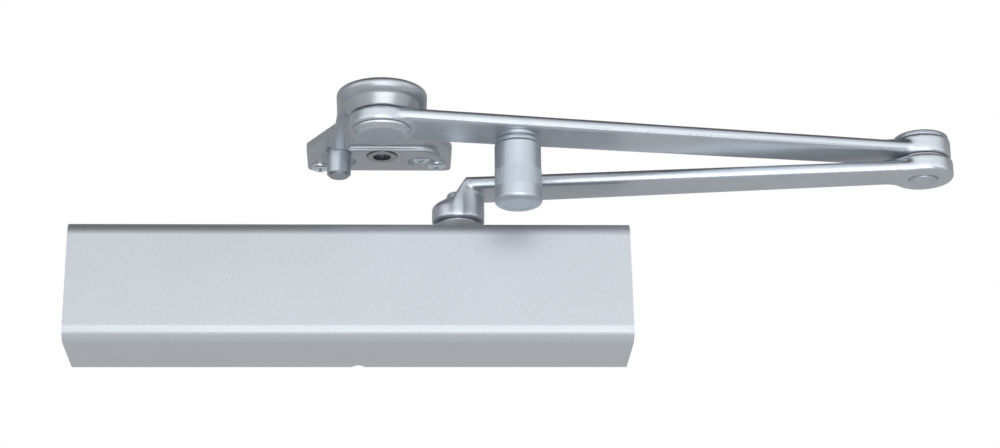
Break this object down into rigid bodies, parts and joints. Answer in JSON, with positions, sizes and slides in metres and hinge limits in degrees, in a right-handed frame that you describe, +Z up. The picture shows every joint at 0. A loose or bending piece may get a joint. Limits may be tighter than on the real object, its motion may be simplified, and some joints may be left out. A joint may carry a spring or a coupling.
{
  "type": "parallel arm door closer",
  "caption": "Surface door closer with a plain silver cover, a folded parallel arm, a soffit bracket with a stop peg and a hold-open knob under the forearm.",
  "frame": {"origin": "on the door face, at the centre of the rectangle of door screws in the housing's back", "axes": "+X along the door, away from the hinge side; +Y into the door; +Z up"},
  "size_m": [0.4947, 0.1315, 0.133],
  "materials": {
    "silver_paint": "satin silver paint",
    "cast_aluminium": "sand-cast, machined seats",
    "forged_silver": "satin silver paint on forged steel",
    "zinc": "bright zinc",
    "hard_steel": "ground",
    "spring_steel": "oiled",
    "bronze": "sintered bronze",
    "seal_rubber": "matt",
    "dark_boot": "grey moulded",
    "plated_bracket": "satin grey paint"
  },
  "bodies": {
    "closer_body": {"housing": "cast_aluminium", "cover": "silver_paint", "cover_screws": "zinc", "pinion_collar": "dark_boot", "pinion_seal": "seal_rubber", "upper_pinion_bearing": "hard_steel", "lower_pinion_bearing": "hard_steel", "lower_bearing_cap": "hard_steel", "spring_end_plug": "hard_steel", "head_end_plug": "hard_steel", "end_plug_seals": "seal_rubber", "closing_spring": "spring_steel"},
    "power_screw": {"power_adjusting_screw": "zinc"},
    "spring_seat_body": {"spring_seat": "hard_steel"},
    "piston_body": {"rack_piston": "hard_steel", "piston_seal": "seal_rubber", "check_ball": "hard_steel", "ball_retainer": "hard_steel"},
    "backcheck_valve_body": {"backcheck_valve": "zinc"},
    "sweep_valve_body": {"sweep_valve": "zinc"},
    "latch_valve_body": {"latch_valve": "zinc"},
    "main_arm_body": {"pinion": "hard_steel", "main_arm": "forged_silver", "arm_washer": "zinc", "arm_screw": "zinc", "elbow_bush": "bronze", "elbow_washer": "bronze"},
    "forearm_body": {"forearm": "forged_silver", "elbow_stud": "zinc", "elbow_cap": "zinc", "pivot_bush": "bronze", "knob_guide": "zinc", "hold_open_spring": "spring_steel"},
    "knob_body": {"hold_open_knob": "zinc"},
    "plunger_body": {"hold_open_plunger": "hard_steel"},
    "bracket_body": {"soffit_bracket": "plated_bracket", "stop_peg": "zinc", "hold_open_catch": "hard_steel", "pivot_screw": "forged_silver", "bracket_screws": "zinc"}
  },
  "joints": [
    {"name": "main_arm_swing", "type": "hinge", "parent": "closer_body", "child": "main_arm_body", "pos_m": [0.0604, -0.026, 0], "axis": [0, 0, -1], "range_deg": [0, 123.4], "stiffness_Nm_per_rad": 4, "springref_deg": -85.94},
    {"name": "piston_slide", "type": "slide", "parent": "closer_body", "child": "piston_body", "axis": [-1, 0, 0], "range_m": [0, 0.02585], "deforming": ["closing_spring"]},
    {"name": "elbow_fold", "type": "hinge", "parent": "main_arm_body", "child": "forearm_body", "pos_m": [0.3201, -0.0532, 0.07], "axis": [0, 0, 1], "range_deg": [0, 84.4]},
    {"name": "bracket_swivel", "type": "hinge", "parent": "forearm_body", "child": "bracket_body", "pos_m": [0.0174, -0.1071, 0.07], "axis": [0, 0, -1], "range_deg": [0, 79.9]},
    {"name": "hold_open_knob_turn", "type": "hinge", "parent": "forearm_body", "child": "knob_body", "pos_m": [0.09094, -0.094, 0.05], "axis": [0, 0, 1], "range_deg": [0, 90]},
    {"name": "plunger_slide", "type": "slide", "parent": "forearm_body", "child": "plunger_body", "axis": [0, 0, 1], "range_m": [0, 0.0075], "deforming": ["hold_open_spring"]},
    {"name": "power_screw_turn", "type": "hinge", "parent": "closer_body", "child": "power_screw", "pos_m": [-0.12, -0.026, 0], "axis": [1, 0, 0], "range_deg": [-900, 900]},
    {"name": "spring_seat_slide", "type": "slide", "parent": "closer_body", "child": "spring_seat_body", "axis": [1, 0, 0], "range_m": [-0.005, 0.005]},
    {"name": "backcheck_valve_turn", "type": "hinge", "parent": "closer_body", "child": "backcheck_valve_body", "pos_m": [0.086, -0.045, -0.0246], "axis": [0, -1, 0], "range_deg": [-360, 360]},
    {"name": "sweep_valve_turn", "type": "hinge", "parent": "closer_body", "child": "sweep_valve_body", "pos_m": [0.105, -0.045, -0.0246], "axis": [0, -1, 0], "range_deg": [-360, 360]},
    {"name": "latch_valve_turn", "type": "hinge", "parent": "closer_body", "child": "latch_valve_body", "pos_m": [0.124, -0.045, -0.0246], "axis": [0, -1, 0], "range_deg": [-360, 360]}
  ],
  "couplings": [
    {"joint": "piston_slide", "follows": "main_arm_swing", "m_per_rad": 0.012},
    {"joint": "elbow_fold", "follows": "main_arm_swing", "ratio": 0.68395},
    {"joint": "bracket_swivel", "follows": "main_arm_swing", "ratio": 0.64749},
    {"joint": "plunger_slide", "follows": "hold_open_knob_turn", "m_per_rad": 0.0047746},
    {"joint": "power_screw_turn", "follows": "spring_seat_slide", "rad_per_m": 3141.6}
  ]
}
